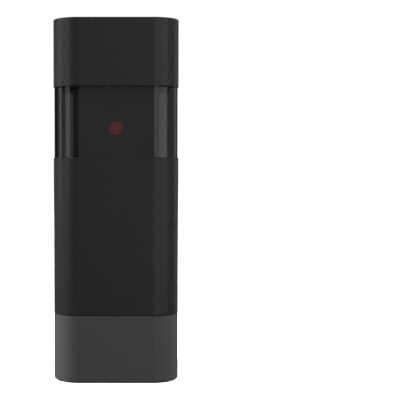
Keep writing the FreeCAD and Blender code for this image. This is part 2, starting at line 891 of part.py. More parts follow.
def smoothing_capacitor():
    """A can with a rolled-in groove near its base, turned about an axis that points to the front."""
    body = new_body("smoothing_capacitor")
    section = side_sketch(body, 0)
    radius = s.capacitor_radius
    groove = s.capacitor_groove_place
    polygon(section, [
        (0, 0),
        (0, radius),
        (-groove, radius),
        (-(groove + s.capacitor_groove), radius - s.capacitor_groove),
        (-(groove + s.capacitor_groove * 2), radius),
        (s.capacitor_edge - s.capacitor_length, radius),
        (-s.capacitor_length, radius - s.capacitor_edge),
        (-s.capacitor_length, 0),
    ])
    turned = body.newObject("PartDesign::Revolution", "Revolution")
    turned.Profile = section
    turned.ReferenceAxis = (section, ["H_Axis"])
    turned.Angle = 360
    section.Visibility = False
    placed(body, (parts_side + radius, board_front, parts_low + radius))
    doc.recompute()
    return body


def microcontroller():
    """A small chip on gull-wing legs."""
    half = s.chip_width / 2
    low = parts_low
    seat = board_front - s.chip_stand_off
    solids = [box("chip_case", -half, half, seat - s.chip_thickness, seat, low, low + s.chip_height)]
    middle = low + s.chip_height / 2
    shoulder = seat - s.chip_thickness / 2
    for number in range(CHIP_LEGS):
        leg_low = middle + s.chip_leg_pitch * (number - (CHIP_LEGS - 1) / 2) - s.chip_leg_width / 2
        leg_high = leg_low + s.chip_leg_width
        for name, sign in (("left", -1), ("right", 1)):
            knee = half + s.chip_leg_reach / 2
            bend = sorted([(half - s.chip_leg_thickness) * sign, knee * sign], key=lambda size: size.value)
            drop = sorted([(knee - s.chip_leg_thickness) * sign, knee * sign], key=lambda size: size.value)
            toe = sorted([(knee - s.chip_leg_thickness) * sign, (half + s.chip_leg_reach) * sign],
                         key=lambda size: size.value)
            front, back = shoulder, board_front
            level = s.chip_leg_thickness
            leg = f"chip_{name}_{number}"
            solids.append(box(f"{leg}_bend", *bend, front, front + level, leg_low, leg_high))
            solids.append(box(f"{leg}_drop", *drop, front, back, leg_low, leg_high))
            solids.append(box(f"{leg}_toe", *toe, back - level, back, leg_low, leg_high))
    return fused("microcontroller", solids)


def bridge_rectifier():
    """On the board's rear face, behind the relay."""
    left = -(parts_side + s.rectifier_width)
    back = board_back + s.rectifier_depth
    high = parts_low + s.rectifier_height
    return box("bridge_rectifier", left, -parts_side, board_back, back, parts_low, high)


def status_led():
    base = (s.corner_part_spread, board_front, corner_part_height)
    straight = s.led_flange_thickness + s.led_straight
    tip = (base[0], base[1] - straight, base[2])
    return fused("status_led", [
        rod("led_flange_disc", base, FRONT, s.led_flange, s.led_flange_thickness),
        rod("led_stem", base, FRONT, s.led_radius, straight),
        ball("led_dome", tip, s.led_radius),
    ])


def mode_jumper():
    """A two-pin header with its link pushed on."""
    half = s.jumper_pitch / 2
    pin = s.jumper_pin / 2
    middle = -s.corner_part_spread
    low, high = corner_part_height - half, corner_part_height + half
    left, right = middle - s.jumper_pitch, middle + s.jumper_pitch
    front = board_front - s.jumper_pitch - s.jumper_cap_length
    solids = [box("jumper_base_and_link", left, right, front, board_front, low, high)]
    for number, place in enumerate((middle - half, middle + half)):
        tip = board_front - s.jumper_pitch - s.jumper_pin_length
        solids.append(box(f"jumper_pin_{number}", place - pin, place + pin, tip, board_front,
                          corner_part_height - pin, corner_part_height + pin))
    return fused("mode_jumper", solids)


def lead_socket():
    half = s.socket_width / 2
    return box("lead_socket", -half, half, -s.socket_reach, board_front, socket_bottom, socket_top)


def head_lead():
    return rod("head_lead", (0, 0, socket_top), UP, s.lead_radius, lead_top - socket_top)


# The optic drum.
def drum_blank(body):
    outline = level_sketch(body, drum_bottom)
    circle(outline, 0, 0, drum_radius)
    pad(body, outline, drum_top - drum_bottom)


def cut_drum(body, front, back):
    """Cuts the drum away between two places along Y."""
    cut = level_sketch(body, drum_top)
    rectangle(cut, -drum_radius, drum_radius, front, back)
    pocket(body, cut, drum_top - drum_bottom)


def drum_rim(kept):
    """Picks the drum's upper and lower outer edges on the side that is kept."""

    def wanted(edge):
        box = edge.BoundBox
        level = box.ZMax - box.ZMin < 1e-4
        ends = min(abs(box.ZMin - drum_top.value), abs(box.ZMin - drum_bottom.value)) < 1e-4
        middle = edge.valueAt((edge.FirstParameter + edge.LastParameter) / 2)
        return level and ends and kept(middle.y)

    return wanted


def optic_head():
    body = new_body("optic_head")
    drum_blank(body)
    cut_drum(body, -drum_radius, -s.drum_flat)
    cut_drum(body, drum_split, drum_radius)
    soften(body, "Chamfer", s.drum_edge, drum_rim(lambda y: y < drum_split.value - 1e-4))
    room = facing_sketch(body, drum_split)
    rectangle(room, -drum_half, drum_half, drum_floor, drum_ceiling)
    pocket(body, room, drum_split - drum_inner_face, reverse=True)
    trunnion = level_sketch(body, drum_top)
    circle(trunnion, 0, 0, s.trunnion_radius)
    pad(body, trunnion, s.trunnion_length)
    spindle = level_sketch(body, spindle_end)
    circle(spindle, 0, 0, s.spindle_radius)
    pad(body, spindle, drum_bottom - spindle_end)
    groove = level_sketch(body, bearing_bottom - s.clip_gap)
    circle(groove, 0, 0, s.clip_groove_radius)
    circle(groove, 0, 0, s.bearing_radius)
    pocket(body, groove, s.clip_thickness)
    bore = level_sketch(body, drum_floor)
    circle(bore, 0, 0, s.spindle_bore)
    pocket(body, bore, drum_floor - spindle_end)
    posts = facing_sketch(body, drum_inner_face)
    pilots = facing_sketch(body, s.optic_board_front)
    for across, height in optic_posts:
        circle(posts, across, height, s.optic_post_radius)
        circle(pilots, across, height, small_pilot)
    pad(body, posts, s.optic_board_front - drum_inner_face, reverse=True)
    pocket(body, pilots, s.small_screw_grip - s.optic_board_thickness + s.pilot_extra, reverse=True)
    lens_hole = facing_sketch(body, -s.drum_flat)
    circle(lens_hole, 0, lens_height, s.lens_radius + s.lens_clearance)
    pocket(body, lens_hole, s.drum_wall)
    return body


def head_cover():
    """The drum's rear, hollow, with a lip that plugs into the drum's room."""
    body = new_body("head_cover")
    drum_blank(body)
    cut_drum(body, -drum_radius, drum_split)
    soften(body, "Chamfer", s.drum_edge, drum_rim(lambda y: y > drum_split.value + 1e-4))
    gap = s.cover_lip_clearance
    lip = facing_sketch(body, drum_split)
    rectangle(lip, gap - drum_half, drum_half - gap, drum_floor + gap, drum_ceiling - gap)
    pad(body, lip, s.cover_lip_length)
    thick = gap + s.cover_lip_thickness
    room = facing_sketch(body, drum_split - s.cover_lip_length)
    rectangle(room, thick - drum_half, drum_half - thick, drum_floor + thick, drum_ceiling - thick)
    pocket(body, room, s.cover_lip_length + s.cover_hollow)
    return body


def ir_lens():
    """A red disc in the drum's flat face, held by a flange behind it."""
    body = new_body("ir_lens")
    disc = facing_sketch(body, drum_inner_face)
    circle(disc, 0, lens_height, s.lens_radius)
    pad(body, disc, s.drum_wall + s.lens_proud)
    front = -(s.drum_flat + s.lens_proud)
    soften(body, "Chamfer", s.lens_edge, lambda edge: edge.BoundBox.YMax < front.value + 1e-4)
    flange = facing_sketch(body, drum_inner_face)
    circle(flange, 0, lens_height, s.lens_flange)
    pad(body, flange, s.lens_flange_thickness, reverse=True)
    return body


def ir_diode():
    """A domed diode that stands on the optic board and looks through the lens."""
    centre = drum_inner_face + s.lens_flange_thickness + s.diode_lens_gap + s.diode_radius
    stem = s.optic_board_front - centre
    base = s.optic_board_front - s.diode_flange_thickness
    leg_length = optic_board_back + s.diode_leg_tail - base
    solids = [
        ball("diode_dome", (0, centre, lens_height), s.diode_radius),
        rod("diode_stem", (0, centre, lens_height), BACK, s.diode_radius, stem),
        rod("diode_flange_disc", (0, base, lens_height), BACK, s.diode_flange, s.diode_flange_thickness),
    ]
    for number, side in enumerate((-1, 1)):
        start = (s.diode_leg_spread * side, base, lens_height)
        solids.append(rod(f"diode_leg_{number}", start, BACK, s.diode_leg_radius, leg_length))
    return fused("ir_diode", solids)


def optic_board():
    body = new_body("optic_board")
    room = s.optic_board_room
    outline = facing_sketch(body, optic_board_back)
    rectangle(outline, room - drum_half, drum_half - room, drum_floor + room, drum_ceiling - room)
    for across, height in optic_posts:
        circle(outline, across, height, small_hole)
    for side in (-1, 1):
        circle(outline, s.diode_leg_spread * side, lens_height, s.diode_leg_radius + s.screw_clearance)
    pad(body, outline, s.optic_board_thickness)
    return body


def optic_board_screws():
    head = s.small_screw_head, s.small_screw_head_height
    return grouped("optic_board_screws", [
        screw(f"optic_board_screw_{number}", (across, optic_board_back, height), FRONT,
              s.small_screw_core, s.small_screw_grip, *head)
        for number, (across, height) in enumerate(optic_posts)
    ])


def head_plug():
    half = s.plug_width / 2
    return box("head_plug", -half, half, -s.plug_reach, s.optic_board_front, plug_bottom, plug_top)


def head_clip():
    """A spring clip in the spindle's groove, under the chassis bearing."""
    body = new_body("head_clip")
    low = bearing_bottom - s.clip_gap - s.clip_thickness
    disc = level_sketch(body, low)
    circle(disc, 0, 0, s.clip_radius)
    circle(disc, 0, 0, s.clip_groove_radius + s.screw_clearance)
    pad(body, disc, s.clip_thickness)
    opening = level_sketch(body, low + s.clip_thickness)
    half = s.clip_opening / 2
    rectangle(opening, -half, half, -s.clip_radius, 0)
    pocket(body, opening, s.clip_thickness)
    return body


def friction_washer():
    body = new_body("friction_washer")
    disc = level_sketch(body, table_top)
    circle(disc, 0, 0, s.washer_radius)
    circle(disc, 0, 0, s.spindle_radius + s.pass_clearance)
    pad(body, disc, s.washer_thickness)
    return body


def check(nodes):
    doc.recompute()
    faults = [thing.Label for thing in doc.Objects if {"Invalid", "Error"} & set(thing.State)]
    for node in nodes:
        if node.Shape.isNull() or not node.Shape.isValid() or not node.Shape.Solids:
            faults.append(node.Label)
    if faults:
        raise RuntimeError(f"these failed: {faults}")


def main():
    nodes = [
        foot_housing(),
        body_sleeve(),
        window_ring(),
        top_cap(),
        *seals(),
        hood_screws(),
        chassis(),
        cable_grommet(),
        chassis_screws(),
        main_board(),
        board_screws(),
        terminal_block(),
        terminal_screws(),
        relay(),
        smoothing_capacitor(),
        microcontroller(),
        bridge_rectifier(),
        status_led(),
        mode_jumper(),
        lead_socket(),
        head_lead(),
        friction_washer(),
        optic_head(),
        head_cover(),
        ir_lens(),
        ir_diode(),
        optic_board(),
        optic_board_screws(),
        head_plug(),
        head_clip(),
    ]
    check(nodes)
    os.makedirs("parts", exist_ok=True)
    for node in nodes:
        node.Shape.exportStep(f"parts/{node.Label}.step")


main()
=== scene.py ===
"""Dresses the slim photocell: finishes for its mouldings and boards, modelled screws, and a small studio.

Metres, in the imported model's frame: +Z is up and the front faces -Y.
"""

import math
from functools import cache
from typing import NamedTuple

import bpy
from bpy.props import FloatProperty, FloatVectorProperty, PointerProperty
from mathutils import Matrix, Vector


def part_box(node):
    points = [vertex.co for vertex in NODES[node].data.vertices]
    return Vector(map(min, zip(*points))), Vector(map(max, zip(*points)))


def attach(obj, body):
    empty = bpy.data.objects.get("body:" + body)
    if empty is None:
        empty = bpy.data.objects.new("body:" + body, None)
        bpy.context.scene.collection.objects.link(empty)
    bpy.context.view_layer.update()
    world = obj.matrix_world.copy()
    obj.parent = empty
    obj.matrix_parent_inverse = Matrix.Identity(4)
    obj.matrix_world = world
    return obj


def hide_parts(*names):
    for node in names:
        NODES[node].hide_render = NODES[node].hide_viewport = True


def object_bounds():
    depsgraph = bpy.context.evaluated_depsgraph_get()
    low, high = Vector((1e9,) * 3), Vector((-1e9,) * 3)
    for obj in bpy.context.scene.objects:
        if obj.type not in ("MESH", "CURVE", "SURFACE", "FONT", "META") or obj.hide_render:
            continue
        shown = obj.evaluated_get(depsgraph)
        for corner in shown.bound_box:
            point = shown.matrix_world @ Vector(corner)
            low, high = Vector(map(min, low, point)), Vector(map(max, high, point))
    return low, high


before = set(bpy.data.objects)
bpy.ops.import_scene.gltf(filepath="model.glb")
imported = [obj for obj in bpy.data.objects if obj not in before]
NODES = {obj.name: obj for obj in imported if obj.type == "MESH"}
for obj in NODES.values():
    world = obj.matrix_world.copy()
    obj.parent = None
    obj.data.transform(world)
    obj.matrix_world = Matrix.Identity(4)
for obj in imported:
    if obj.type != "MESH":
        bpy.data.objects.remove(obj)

bl_info = {
    "name": "Slim Photocell",
    "version": (1, 0, 0),
    "blender": (4, 5, 0),
    "location": "View3D > Sidebar > Photocell",
    "description": "Finishes, screws and a studio for the slim photocell",
    "category": "Object",
}

SOLID_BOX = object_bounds()
CASE_MIDDLE = (SOLID_BOX[0] + SOLID_BOX[1]) / 2
MM = 0.001

# The photograph's frame, and the column in it that the case's axis stands on.
IMAGE_SIDE = 400
AXIS_COLUMN = 116.03

# The camera: its sensor's width in millimetres, and how near to it things are still seen.
SENSOR_WIDTH = 36
NEAREST_SEEN = 0.01

# The floor: its side, the ring about the case's axis where it turns white, and its glow inside that ring.
FLOOR_SIDE = 6
SHADOW_REACH = 0.08
WHITE_FROM = 0.3
NEAR_GLOW = 0.7

# Turns the Y axis to X and the X axis to Z, so that a flat outline stands up with its first corner outwards.
STANDING = Matrix(((0, 1, 0), (0, 0, 1), (1, 0, 0))).to_euler()

# Screws: a rim's rounding and a core's start are shares of the head's height, a slot's reach of its width.
SCREW_SIDES = 32
RIM_SEGMENTS = 4
RIM_ROUNDING = 0.3
CORE_START = 0.9
SLOT_REACH = 1.2
BLADE_TAPER = (0.55, 0.7, 1)
POINT_TAPER = (0.35, 0.35, 1)
SMOOTH_ANGLE = math.radians(35)
TERMINAL_COUNT = 5

# A face looks up when its normal rises by more than this, and two heights closer than this are the same.
LOOKING_UP = 0.9
SAME_HEIGHT = 1e-6


# What a user would change.
class CaseColours(bpy.types.PropertyGroup):
    """Colours of the pieces that show from outside."""

    hood: FloatVectorProperty(
        name="Hood", description="Sleeve and cap", subtype="COLOR", size=3, min=0, max=1,
        default=(0.0127, 0.0127, 0.01276))
    foot: FloatVectorProperty(
        name="Foot", description="Grey lower end", subtype="COLOR", size=3, min=0, max=1,
        default=(0.038, 0.038, 0.03819))
    drum: FloatVectorProperty(
        name="Drum", description="Optic drum behind the window", subtype="COLOR", size=3, min=0, max=1,
        default=(0.047, 0.047, 0.04723))
    lens: FloatVectorProperty(
        name="Lens", description="Red lens in the drum's flat", subtype="COLOR", size=3, min=0, max=1,
        default=(1.0, 0.05, 0.06))
    smoke: FloatProperty(
        name="Smoke", description="How strongly the window's plastic darkens with each metre of its depth",
        min=0, default=352)


class ScrewSizes(bpy.types.PropertyGroup):
    """Sizes of the screws' recesses and threads."""

    recess_reach: FloatProperty(
        name="Recess reach", description="Length of a cross recess as a share of the head's width",
        subtype="FACTOR", min=0.2, max=0.9, default=0.6)
    recess_depth: FloatProperty(
        name="Recess depth", description="Depth of a recess as a share of the head's height",
        subtype="FACTOR", min=0.2, max=0.9, default=0.65)
    blade_width: FloatProperty(
        name="Blade width", description="Width of a recess as a share of the head's width",
        subtype="FACTOR", min=0.05, max=0.4, default=0.16)
    thread_depth: FloatProperty(
        name="Thread depth", description="Depth of a thread as a share of its crest radius",
        subtype="FACTOR", min=0.05, max=0.4, default=0.22)
    thread_pitch: FloatProperty(
        name="Thread pitch", description="Rise of a thread in one turn as a share of its crest radius",
        subtype="FACTOR", min=0.4, max=1.5, default=0.8)


class StudioSetup(bpy.types.PropertyGroup):
    """The camera and how bright each lamp is, where 1 is as bright as white paper."""

    camera_distance: FloatProperty(
        name="Camera distance", description="From the case's front", subtype="DISTANCE", unit="LENGTH",
        default=0.300)
    camera_height: FloatProperty(
        name="Camera height", description="Above the floor", subtype="DISTANCE", unit="LENGTH",
        default=0.06812)
    camera_tilt: FloatProperty(
        name="Camera tilt", description="How far the camera looks down", subtype="ANGLE", unit="ROTATION",
        default=0.0432)
    focal_length: FloatProperty(
        name="Focal length", description="On a 36 mm sensor", subtype="DISTANCE_CAMERA", unit="CAMERA",
        default=90.72)
    front_fill: FloatProperty(
        name="Front fill", description="Brightness of the fill light above the camera", min=0, default=2.9)
    left_fill: FloatProperty(
        name="Left fill", description="Brightness of the fill light on the left", min=0, default=18.3)
    right_fill: FloatProperty(
        name="Right fill", description="Brightness of the fill light on the right", min=0, default=8.8)
    left_strip: FloatProperty(
        name="Left strip", description="Brightness of the strip beside the case on the left",
        min=0, default=0.53)
    left_softbox: FloatProperty(
        name="Left softbox", description="Brightness of the softbox that the case mirrors on its left",
        min=0, default=0.62)
    right_softbox: FloatProperty(
        name="Right softbox", description="Brightness of the softbox that the case mirrors on its right",
        min=0, default=0.69)
    right_apron: FloatProperty(
        name="Right apron", description="Brightness of the panel between the camera and the right softbox",
        min=0, default=0.56)
    rim_strip: FloatProperty(
        name="Rim strip", description="Brightness of the strip behind on the right", min=0, default=0.27)
    front_panel: FloatProperty(
        name="Front panel", description="Brightness of the panel behind the camera", min=0, default=0.175)
    back_fill: FloatProperty(
        name="Back fill", description="Brightness of the fill light behind the case", min=0, default=2.0)
    backdrop: FloatProperty(
        name="Backdrop", description="Brightness of the white behind the case where the window shows it",
        min=0, default=0.165)
    room: FloatProperty(
        name="Room", description="Brightness of the room all round", min=0, default=0.03)


# Materials: a socket that takes part in arithmetic, and the one way that nodes are added.
class Signal:
    """A node's output. Arithmetic on it adds Math nodes."""

    def __init__(self, finish, socket):
        self.finish = finish
        self.socket = socket

    def math(self, operation, first, second=0.0):
        return self.finish.add("ShaderNodeMath", {"operation": operation}, {0: first, 1: second})

    def __add__(self, other):
        return self.math("ADD", self, other)

    def __sub__(self, other):
        return self.math("SUBTRACT", self, other)

    def __rsub__(self, other):
        return self.math("SUBTRACT", other, self)

    def __mul__(self, other):
        return self.math("MULTIPLY", self, other)

    def __abs__(self):
        return self.math("ABSOLUTE", self)

    def root(self):
        return self.math("SQRT", self)

    def ripple(self):
        return self.math("SINE", self)

    __radd__ = __add__
    __rmul__ = __mul__


class Finish:
    """A material or the world: a tree of nodes that ends in one shader."""

    def __init__(self, tree, shader):
        self.tree = tree
        self.shader = tree.nodes[shader]

    @classmethod
    def material(cls, name, constants):
        """A new material whose Principled shader starts with these constants."""
        made = bpy.data.materials.new(name)
        made.use_nodes = True
        finish = cls(made.node_tree, "Principled BSDF")
        finish.made = made
        for socket, value in constants.items():
            finish.feed(finish.shader, socket, value)
        return finish

    def add(self, kind, settings=None, inputs=None, output=0):
        """Adds a node of any kind: its settings first, then the value or link of each socket."""
        node = self.tree.nodes.new(kind)
        for name, value in (settings or {}).items():
            setattr(node, name, value)
        for socket, value in (inputs or {}).items():
            self.feed(node, socket, value)
        return Signal(self, node.outputs[output])

    def feed(self, node, socket, value):
        if isinstance(value, Signal):
            self.tree.links.new(value.socket, node.inputs[socket])
        else:
            node.inputs[socket].default_value = value

    def shade(self, **links):
        """Feeds the shader's sockets, named with underscores for spaces."""
        for name, value in links.items():
            self.feed(self.shader, name.replace("_", " "), value)

    def place(self):
        """Where a point is on the piece, in metres."""
        return self.add("ShaderNodeTexCoord", output="Object")

    def axes(self, vector):
        """The three parts of a vector."""
        split = self.add("ShaderNodeSeparateXYZ", inputs={"Vector": vector})
        return [Signal(self, socket) for socket in split.socket.node.outputs]

    def cloud(self, size, detail=2.0, roughness=0.5):
        """Soft noise from 0 to 1 with spots of about the given size."""
        return self.add("ShaderNodeTexNoise", inputs={
            "Vector": self.place(), "Scale": 1 / size, "Detail": detail, "Roughness": roughness})

    def cells(self, size, feature, randomness):
        """Distance from the middles or the borders of cells of about the given size."""
        return self.add("ShaderNodeTexVoronoi", {"feature": feature}, {
            "Vector": self.place(), "Scale": 1 / size, "Randomness": randomness}, "Distance")

    def spread(self, signal, low, high, from_low=0.0, from_high=1.0):
        """Moves a signal from one range to another, without leaving it."""
        return self.add("ShaderNodeMapRange", inputs={
            "Value": signal, "From Min": from_low, "From Max": from_high, "To Min": low, "To Max": high})

    def mask(self, signal, low, high):
        """0 below low and 1 above high, with a soft step between."""
        return self.add("ShaderNodeMapRange", {"interpolation_type": "SMOOTHSTEP"}, {
            "Value": signal, "From Min": low, "From Max": high})

    def blend(self, share, first, second):
        """A colour between two, by a share from 0 to 1."""
        colours = [colour if isinstance(colour, Signal) else (*colour, 1) for colour in (first, second)]
        return self.add("ShaderNodeMix", {"data_type": "RGBA"}, {0: share, 6: colours[0], 7: colours[1]}, 2)

    def emboss(self, height, depth):
        """A normal for a surface whose height from 0 to 1 stands for a depth in metres."""
        return self.add("ShaderNodeBump", inputs={"Strength": 1.0, "Distance": depth, "Height": height})


def shaded(colour, factor):
    return tuple(min(1.0, part * factor) for part in colour)


def mottled(finish, share, colour, swing):
    """A colour that goes darker and lighter by a swing, as a share runs from 0 to 1."""
    return finish.blend(share, shaded(colour, 1 - swing), shaded(colour, 1 + swing))


def moulded_plastic(name, colour, roughness, grain, depth, constants=None):
    """Moulded plastic: slight mottling, a grain from the mould's wall, and faint smears of gloss."""
    finish = Finish.material(name, constants or {})
    mottle = finish.cloud(9 * MM, detail=3)
    smears = finish.mask(finish.cloud(5 * MM, detail=4, roughness=0.6), 0.45, 0.75)
    texture = finish.cloud(grain, detail=3, roughness=0.6)
    finish.shade(
        Base_Color=mottled(finish, mottle, colour, 0.05),
        Roughness=finish.spread(texture, roughness - 0.04, roughness + 0.04) - smears * 0.03,
        Normal=finish.emboss(texture, depth),
    )
    return finish.made


def smoked_plastic(smoke):
    """Polished, coated plastic that darkens with its thickness, faintly wavy and with a few dull smears."""
    finish = Finish.material("smoked_plastic", {
        "Transmission Weight": 1.0, "IOR": 1.49, "Coat Weight": 0.7, "Coat Roughness": 0.02})
    mottle = finish.cloud(12 * MM)
    smears = finish.mask(finish.cloud(6 * MM, detail=4, roughness=0.65), 0.5, 0.8)
    finish.shade(
        Base_Color=finish.blend(mottle, (0.95, 0.95, 0.95), (1, 1, 1)),
        Roughness=smears * 0.03 + 0.02,
        Normal=finish.emboss(finish.cloud(7 * MM, detail=1), 0.0005 * MM),
    )
    inside = finish.add("ShaderNodeVolumeAbsorption", inputs={"Color": (0, 0, 0, 1), "Density": smoke})
    finish.feed(finish.tree.nodes["Material Output"], "Volume", inside)
    return finish.made


def lens_resin(colour):
    """Deep red resin with fine moulded rings about the lens's axis."""
    finish = Finish.material("lens_resin", {"Coat Weight": 0.1, "Coat Roughness": 0.08, "IOR": 1.45})
    low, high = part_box("ir_lens")
    middle = (low + high) / 2
    x, _, z = finish.axes(finish.place())
    across, up = x - middle.x, z - middle.z
    radius = (across * across + up * up).root()
    ring_pitch = 0.22 * MM
    rings = (radius * (2 * math.pi / ring_pitch)).ripple()
    finish.shade(
        Base_Color=mottled(finish, finish.cloud(0.8 * MM), colour, 0.08),
        Roughness=finish.spread(rings, 0.28, 0.36, from_low=-1, from_high=1),
        Normal=finish.emboss(rings, 0.006 * MM),
    )
    return finish.made


def clear_resin(name, colour, cloudiness):
    """Cast resin with a milky drift inside."""
    finish = Finish.material(name, {"Transmission Weight": 1 - cloudiness, "IOR": 1.53})
    drift = finish.cloud(1.2 * MM, detail=3)
    finish.shade(
        Base_Color=mottled(finish, drift, colour, 0.15),
        Roughness=finish.spread(drift, 0.1, 0.2),
        Normal=finish.emboss(finish.cloud(0.6 * MM), 0.003 * MM),
    )
    return finish.made


def soft_rubber(name, colour):
    """Dull rubber with dust in its pores."""
    finish = Finish.material(name, {"Sheen Weight": 0.15, "Sheen Roughness": 0.6})
    pores = finish.cloud(0.18 * MM, detail=3, roughness=0.65)
    dust = finish.mask(finish.cloud(2 * MM, detail=4), 0.55, 0.8)
    finish.shade(
        Base_Color=finish.blend(dust, colour, shaded(colour, 2.0)),
        Roughness=finish.spread(pores, 0.6, 0.75),
        Normal=finish.emboss(pores, 0.02 * MM),
    )
    return finish.made


@cache
def zinc_plate():
    """Zinc-plated steel: a bright skin with a faint yellow bloom and fine scratches."""
    finish = Finish.material("zinc_plate", {"Metallic": 1.0})
    bloom = finish.mask(finish.cloud(1.5 * MM, detail=3), 0.4, 0.7)
    scratches = finish.cloud(0.09 * MM, detail=4, roughness=0.7)
    finish.shade(
        Base_Color=finish.blend(bloom, (0.62, 0.62, 0.60), (0.66, 0.63, 0.55)),
        Roughness=finish.spread(scratches, 0.24, 0.4) + bloom * 0.06,
        Normal=finish.emboss(scratches, 0.004 * MM),
    )
    return finish.made


def circuit_board():
    """Green solder mask over raised tracks, with tinned pads, and bare glass fibre along the cut edges."""
    finish = Finish.material("solder_mask", {"Coat Weight": 0.25, "Coat Roughness": 0.2})
    tracks = 1 - finish.mask(finish.cells(2.4 * MM, "DISTANCE_TO_EDGE", randomness=0.45), 0.05, 0.09)
    pads = 1 - finish.mask(finish.cells(1.9 * MM, "F1", randomness=0.3), 0.16, 0.2)
    facing = finish.axes(finish.add("ShaderNodeTexCoord", output="Normal"))[1]
    flat = finish.mask(abs(facing), 0.5, 0.8)
    pads = pads * flat
    fibre = finish.cloud(0.25 * MM, detail=3)
    mask_colour = finish.blend(tracks, (0.012, 0.095, 0.038), (0.03, 0.17, 0.06))
    cut_edge = finish.blend(fibre, (0.42, 0.38, 0.2), (0.5, 0.46, 0.28))
    bare = finish.blend(flat, cut_edge, mask_colour)
    finish.shade(
        Base_Color=finish.blend(pads, bare, (0.72, 0.7, 0.66)),
        Metallic=pads,
        Roughness=0.55 - flat * 0.2 - pads * 0.05,
        Normal=finish.emboss(tracks + pads * 0.6 + fibre * 0.15, 0.03 * MM),
    )
    return finish.made


def sleeved_can():
    """An aluminium can in a shrunk-on dark sleeve with a pale stripe; its front end is bare and scored."""
    finish = Finish.material("sleeved_can", {})
    low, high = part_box("smoothing_capacitor")
    middle = (low + high) / 2
    x, y, z = finish.axes(finish.place())
    end = 1 - finish.mask(y, low.y + 0.5 * MM, low.y + 0.7 * MM)
    across, up = abs(x - middle.x), abs(z - middle.z)
    scores = 1 - finish.mask(across.math("MINIMUM", across, up), 0.1 * MM, 0.16 * MM)
    stripe = finish.mask(x, high.x - 1.1 * MM, high.x - 1.0 * MM)
    brushed = finish.cloud(0.2 * MM, detail=4, roughness=0.7)
    sleeve = finish.blend(stripe, (0.014, 0.016, 0.024), (0.4, 0.41, 0.44))
    metal = finish.blend(brushed, (0.52, 0.53, 0.54), (0.66, 0.67, 0.68))
    finish.shade(
        Base_Color=finish.blend(end, sleeve, metal),
        Metallic=end,
        Roughness=finish.spread(brushed, 0.26, 0.4),
        Normal=finish.emboss(brushed * 0.1 - scores * end, 0.08 * MM),
    )
    return finish.made


def part_tinned(name, colour, roughness, metal_share):
    """Moulded part that is tinned metal where the share, which a function gives for this finish, is 1."""
    finish = Finish.material(name, {})
    grain = finish.cloud(0.15 * MM, detail=3, roughness=0.6)
    metal = metal_share(finish)
    plastic = mottled(finish, grain, colour, 0.15)
    finish.shade(
        Base_Color=finish.blend(metal, plastic, (0.7, 0.69, 0.66)),
        Metallic=metal,
        Roughness=finish.spread(grain, roughness - 0.05, roughness + 0.05) - metal * 0.15,
        Normal=finish.emboss(grain, 0.008 * MM),
    )
    return finish.made


def chip_legs(finish):
    """The chip's legs stand out on both sides of its case."""
    x, _, _ = finish.axes(finish.place())
    _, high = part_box("microcontroller")
    return finish.mask(abs(x), high.x - 1.0 * MM, high.x - 0.98 * MM)


def jumper_pins(finish):
    """The header's pins stick out of the front of the link."""
    _, y, _ = finish.axes(finish.place())
    low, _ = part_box("mode_jumper")
    return 1 - finish.mask(y, low.y + 2.45 * MM, low.y + 2.5 * MM)


def dress(material, *names):
    """Gives CAD nodes a finish, through their own material slots."""
    for name in names:
        for material_slot in NODES[name].material_slots:
            material_slot.material = material


# Modelling by hand: one piece at a time, with only what is worked on selected.
def deselect():
    bpy.ops.object.select_all(action="DESELECT")


def choose(piece):
    deselect()
    piece.select_set(True)
    bpy.context.view_layer.objects.active = piece


def settle(piece):
    """Moves a piece's place, turn and scale into its mesh."""
    choose(piece)
    bpy.ops.object.transform_apply(location=True, rotation=True, scale=True)


def edit(piece, kind, wanted):
    """Opens a piece for editing with only the faces or edges that are wanted selected."""
    choose(piece)
    mesh = piece.data
    for group in (mesh.vertices, mesh.edges, mesh.polygons):
        group.foreach_set("select", [False] * len(group))
    for item in getattr(mesh, kind):
        item.select = wanted(item)
    bpy.context.tool_settings.mesh_select_mode = (False, kind == "edges", kind == "polygons")
    bpy.ops.object.mode_set(mode="EDIT")


def close():
    bpy.ops.object.mode_set(mode="OBJECT")


def turned(name, radius, low, high):
    """A closed round blank about the Z axis."""
    deselect()
    bpy.ops.mesh.primitive_cylinder_add(
        vertices=SCREW_SIDES, radius=radius, depth=high - low, location=(0, 0, (low + high) / 2))
    piece = bpy.context.object
    piece.name = name
    settle(piece)
    return piece


def looks_up(face):
    return face.normal.z > LOOKING_UP


def rim_at(piece, height):
    """A test for the edges that lie at a height."""
    points = piece.data.vertices
    return lambda edge: all(abs(points[index].co.z - height) < SAME_HEIGHT for index in edge.vertices)


def round_rim(piece, height, width):
    edit(piece, "edges", rim_at(piece, height))
    bpy.ops.mesh.bevel(offset=width, segments=RIM_SEGMENTS, affect="EDGES")
    close()


def blade(name, length, width, depth):
    """A wedge for cutting a recess into a head's face, narrower at its inner end."""
    deselect()
    bpy.ops.mesh.primitive_cube_add(size=1)
    piece = bpy.context.object
    piece.name = name
    piece.scale = (length, width, depth * 2)
    settle(piece)
    edit(piece, "polygons", looks_up)
    bpy.ops.transform.resize(value=BLADE_TAPER)
    close()
    return piece


def cut_away(piece, tool):
    """Cuts a tool's shape out of a piece, and puts the tool away."""
    choose(piece)
    cut = piece.modifiers.new("Recess", "BOOLEAN")
    cut.operation = "DIFFERENCE"
    cut.solver = "EXACT"
    cut.object = tool
    bpy.ops.object.modifier_apply(modifier=cut.name)
    bpy.data.objects.remove(tool)


def joined(name, pieces):
    """One object made of several closed shells."""
    choose(pieces[0])
    for piece in pieces[1:]:
        piece.select_set(True)
    bpy.ops.object.join()
    whole = bpy.context.object
    whole.name = name
    return whole


class ScrewShape(NamedTuple):
    """A screw's main sizes, as its CAD solid has them."""

    head_radius: float
    head_height: float
    crest_radius: float
    length: float


